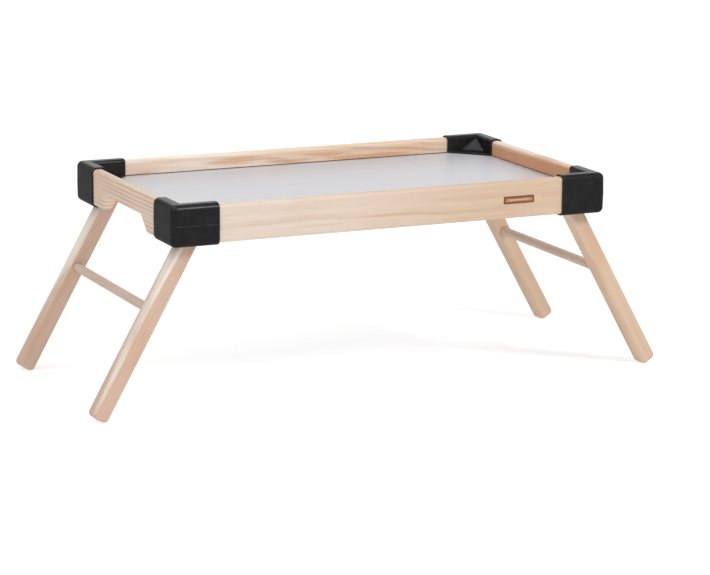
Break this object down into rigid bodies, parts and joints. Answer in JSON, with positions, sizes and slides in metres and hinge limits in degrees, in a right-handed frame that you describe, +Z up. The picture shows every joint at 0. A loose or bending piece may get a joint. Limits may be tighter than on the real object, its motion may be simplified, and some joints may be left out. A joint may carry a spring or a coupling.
{
  "type": "folding tray table",
  "caption": "Low rectangular pine tray table with a let-in pale panel, black corner caps and splayed legs that fold flat under the tray.",
  "frame": {"origin": "on the surface the feet stand on, under the middle of the tray, with the legs open", "axes": "+X along the tray's length towards the end with the badge, +Y from front to back, +Z up"},
  "size_m": [0.6562, 0.29, 0.2216],
  "materials": {
    "rail_pine": "pale pine with fine orange-brown grain lines, clear satin lacquer",
    "leg_pine": "pale to honey pine, grain along the leg, clear satin lacquer",
    "dowel_pine": "turned pine, clear satin lacquer",
    "panel_face": "thin board with a smooth pale grey-white satin face",
    "cap_plastic": "satin black moulding with a fine mottled surface and a raised parting line",
    "screw_steel": "zinc-plated steel",
    "spacer_nylon": "black nylon",
    "badge_veneer": "thin orange-brown veneer plate with a darker scorched edge, blank"
  },
  "bodies": {
    "tray": {"rail_front": "rail_pine", "rail_rear": "rail_pine", "rail_left_end": "rail_pine", "rail_right_end": "rail_pine", "tray_panel": "panel_face", "badge_plate": "badge_veneer", "corner_cap_front_left": "cap_plastic", "pivot_screw_front_left": "screw_steel", "pivot_spacer_front_left": "spacer_nylon", "pivot_washer_front_left": "screw_steel", "cap_screw_long_front_left": "screw_steel", "cap_screw_end_front_left": "screw_steel", "corner_cap_front_right": "cap_plastic", "pivot_screw_front_right": "screw_steel", "pivot_spacer_front_right": "spacer_nylon", "pivot_washer_front_right": "screw_steel", "cap_screw_long_front_right": "screw_steel", "cap_screw_end_front_right": "screw_steel", "corner_cap_rear_left": "cap_plastic", "pivot_screw_rear_left": "screw_steel", "pivot_spacer_rear_left": "spacer_nylon", "pivot_washer_rear_left": "screw_steel", "cap_screw_long_rear_left": "screw_steel", "cap_screw_end_rear_left": "screw_steel", "corner_cap_rear_right": "cap_plastic", "pivot_screw_rear_right": "screw_steel", "pivot_spacer_rear_right": "spacer_nylon", "pivot_washer_rear_right": "screw_steel", "cap_screw_long_rear_right": "screw_steel", "cap_screw_end_rear_right": "screw_steel"},
    "left_legs": {"leg_front_left": "leg_pine", "leg_rear_left": "leg_pine", "leg_dowel_left": "dowel_pine"},
    "right_legs": {"leg_front_right": "leg_pine", "leg_rear_right": "leg_pine", "leg_dowel_right": "dowel_pine"}
  },
  "joints": [
    {"name": "left_leg_fold", "type": "hinge", "parent": "tray", "child": "left_legs", "pos_m": [-0.21681, 0, 0.18978], "axis": [0, -1, 0], "range_deg": [0, 119.3]},
    {"name": "right_leg_fold", "type": "hinge", "parent": "tray", "child": "right_legs", "pos_m": [0.21681, 0, 0.18978], "axis": [0, 1, 0], "range_deg": [0, 119.3]}
  ]
}
